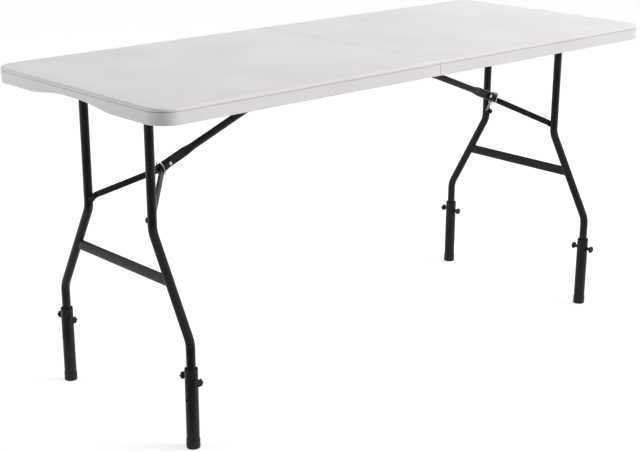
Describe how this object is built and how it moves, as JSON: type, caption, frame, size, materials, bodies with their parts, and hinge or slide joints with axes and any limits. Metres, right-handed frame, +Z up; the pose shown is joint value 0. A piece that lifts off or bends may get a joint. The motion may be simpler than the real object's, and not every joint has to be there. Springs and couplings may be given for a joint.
{
  "type": "folding buffet table",
  "caption": "White blow-moulded folding buffet table that folds across the middle, on charcoal steel leg frames with folding braces and screw-clamped height extensions.",
  "frame": {"origin": "On the floor under the middle of the top.", "axes": "+X along the length (to the right in the picture), +Y to the back long side, +Z up."},
  "size_m": [1.83, 0.74, 0.9],
  "materials": {
    "top_plastic": "fine-grained moulded white",
    "frame_paint": "satin charcoal powder coat",
    "bright_steel": "bright zinc plate",
    "black_plastic": "black moulded plastic"
  },
  "bodies": {
    "left_top": {"left_top_panel": "top_plastic", "left_front_side_rail": "frame_paint", "left_front_pivot_bracket": "frame_paint", "front_left_hinge_leaf": "bright_steel", "left_rear_side_rail": "frame_paint", "left_rear_pivot_bracket": "frame_paint", "rear_left_hinge_leaf": "bright_steel", "left_brace_bracket": "frame_paint", "left_brace_pin": "bright_steel", "front_hinge_pin": "bright_steel", "rear_hinge_pin": "bright_steel"},
    "right_top": {"right_top_panel": "top_plastic", "right_front_side_rail": "frame_paint", "right_front_pivot_bracket": "frame_paint", "front_right_hinge_leaf": "bright_steel", "right_rear_side_rail": "frame_paint", "right_rear_pivot_bracket": "frame_paint", "rear_right_hinge_leaf": "bright_steel", "right_brace_bracket": "frame_paint", "right_brace_pin": "bright_steel"},
    "left_leg_frame": {"left_pivot_tube": "frame_paint", "left_crossbar": "frame_paint", "left_front_leg_tube": "frame_paint", "left_rear_leg_tube": "frame_paint"},
    "left_brace": {"left_upper_brace": "frame_paint", "left_elbow_rivet": "bright_steel"},
    "left_stay": {"left_front_stay_arm": "frame_paint", "left_rear_stay_arm": "frame_paint", "left_front_stay_bolt": "frame_paint", "left_rear_stay_bolt": "frame_paint"},
    "left_ring": {"left_lock_ring": "bright_steel"},
    "left_front_foot": {"left_front_extension_sleeve": "frame_paint", "left_front_foot_cap": "black_plastic"},
    "left_front_outer_screw": {"left_front_outer_knob": "black_plastic"},
    "left_front_inner_screw": {"left_front_inner_knob": "black_plastic"},
    "left_rear_foot": {"left_rear_extension_sleeve": "frame_paint", "left_rear_foot_cap": "black_plastic"},
    "left_rear_outer_screw": {"left_rear_outer_knob": "black_plastic"},
    "left_rear_inner_screw": {"left_rear_inner_knob": "black_plastic"},
    "right_leg_frame": {"right_pivot_tube": "frame_paint", "right_crossbar": "frame_paint", "right_front_leg_tube": "frame_paint", "right_rear_leg_tube": "frame_paint"},
    "right_brace": {"right_upper_brace": "frame_paint", "right_elbow_rivet": "bright_steel"},
    "right_stay": {"right_front_stay_arm": "frame_paint", "right_rear_stay_arm": "frame_paint", "right_front_stay_bolt": "frame_paint", "right_rear_stay_bolt": "frame_paint"},
    "right_ring": {"right_lock_ring": "bright_steel"},
    "right_front_foot": {"right_front_extension_sleeve": "frame_paint", "right_front_foot_cap": "black_plastic"},
    "right_front_outer_screw": {"right_front_outer_knob": "black_plastic"},
    "right_front_inner_screw": {"right_front_inner_knob": "black_plastic"},
    "right_rear_foot": {"right_rear_extension_sleeve": "frame_paint", "right_rear_foot_cap": "black_plastic"},
    "right_rear_outer_screw": {"right_rear_outer_knob": "black_plastic"},
    "right_rear_inner_screw": {"right_rear_inner_knob": "black_plastic"}
  },
  "joints": [
    {"name": "top_fold", "type": "hinge", "parent": "left_top", "child": "right_top", "pos_m": [0, 0, 0.8579], "axis": [0, -1, 0], "range_deg": [-80, 0]},
    {"name": "left_leg_fold", "type": "hinge", "parent": "left_top", "child": "left_leg_frame", "pos_m": [-0.786, 0, 0.868], "axis": [0, -1, 0], "range_deg": [0, 87]},
    {"name": "left_brace_swing", "type": "hinge", "parent": "left_top", "child": "left_brace", "pos_m": [-0.08, 0, 0.874], "axis": [0, 1, 0], "range_deg": [0, 20.14]},
    {"name": "left_stay_swing", "type": "hinge", "parent": "left_brace", "child": "left_stay", "pos_m": [-0.628, 0, 0.6605], "axis": [0, -1, 0], "range_deg": [0, 166]},
    {"name": "left_ring_slide", "type": "slide", "parent": "left_brace", "child": "left_ring", "axis": [0.9318, 0, 0.363], "range_m": [0, 0.19]},
    {"name": "left_front_height_slide", "type": "slide", "parent": "left_leg_frame", "child": "left_front_foot", "axis": [0, 0, 1], "range_m": [0, 0.05]},
    {"name": "left_front_outer_knob_turn", "type": "hinge", "parent": "left_front_foot", "child": "left_front_outer_screw", "pos_m": [-0.786, -0.2862, 0.18808], "axis": [0, -1, 0], "continuous": true},
    {"name": "left_front_inner_knob_turn", "type": "hinge", "parent": "left_front_foot", "child": "left_front_inner_screw", "pos_m": [-0.786, -0.2862, 0.18808], "axis": [0, 1, 0], "continuous": true},
    {"name": "left_rear_height_slide", "type": "slide", "parent": "left_leg_frame", "child": "left_rear_foot", "axis": [0, 0, 1], "range_m": [0, 0.05]},
    {"name": "left_rear_outer_knob_turn", "type": "hinge", "parent": "left_rear_foot", "child": "left_rear_outer_screw", "pos_m": [-0.786, 0.2862, 0.18808], "axis": [0, 1, 0], "continuous": true},
    {"name": "left_rear_inner_knob_turn", "type": "hinge", "parent": "left_rear_foot", "child": "left_rear_inner_screw", "pos_m": [-0.786, 0.2862, 0.18808], "axis": [0, -1, 0], "continuous": true},
    {"name": "right_leg_fold", "type": "hinge", "parent": "right_top", "child": "right_leg_frame", "pos_m": [0.786, 0, 0.868], "axis": [0, 1, 0], "range_deg": [0, 83]},
    {"name": "right_brace_swing", "type": "hinge", "parent": "right_top", "child": "right_brace", "pos_m": [0.08, 0, 0.874], "axis": [0, -1, 0], "range_deg": [0, 19.86]},
    {"name": "right_stay_swing", "type": "hinge", "parent": "right_brace", "child": "right_stay", "pos_m": [0.628, 0, 0.6605], "axis": [0, 1, 0], "range_deg": [0, 160.03]},
    {"name": "right_ring_slide", "type": "slide", "parent": "right_brace", "child": "right_ring", "axis": [-0.9318, 0, 0.363], "range_m": [0, 0.183]},
    {"name": "right_front_height_slide", "type": "slide", "parent": "right_leg_frame", "child": "right_front_foot", "axis": [0, 0, 1], "range_m": [0, 0.05]},
    {"name": "right_front_outer_knob_turn", "type": "hinge", "parent": "right_front_foot", "child": "right_front_outer_screw", "pos_m": [0.786, -0.2862, 0.18808], "axis": [0, -1, 0], "continuous": true},
    {"name": "right_front_inner_knob_turn", "type": "hinge", "parent": "right_front_foot", "child": "right_front_inner_screw", "pos_m": [0.786, -0.2862, 0.18808], "axis": [0, 1, 0], "continuous": true},
    {"name": "right_rear_height_slide", "type": "slide", "parent": "right_leg_frame", "child": "right_rear_foot", "axis": [0, 0, 1], "range_m": [0, 0.05]},
    {"name": "right_rear_outer_knob_turn", "type": "hinge", "parent": "right_rear_foot", "child": "right_rear_outer_screw", "pos_m": [0.786, 0.2862, 0.18808], "axis": [0, 1, 0], "continuous": true},
    {"name": "right_rear_inner_knob_turn", "type": "hinge", "parent": "right_rear_foot", "child": "right_rear_inner_screw", "pos_m": [0.786, 0.2862, 0.18808], "axis": [0, -1, 0], "continuous": true}
  ],
  "couplings": [
    {"joint": "left_brace_swing", "follows": "left_leg_fold", "ratio": 0.23145},
    {"joint": "left_stay_swing", "follows": "left_leg_fold", "ratio": 1.908},
    {"joint": "left_ring_slide", "follows": "left_leg_fold", "m_per_rad": 0.12513},
    {"joint": "right_brace_swing", "follows": "right_leg_fold", "ratio": 0.23929},
    {"joint": "right_stay_swing", "follows": "right_leg_fold", "ratio": 1.9281},
    {"joint": "right_ring_slide", "follows": "right_leg_fold", "m_per_rad": 0.12633}
  ]
}
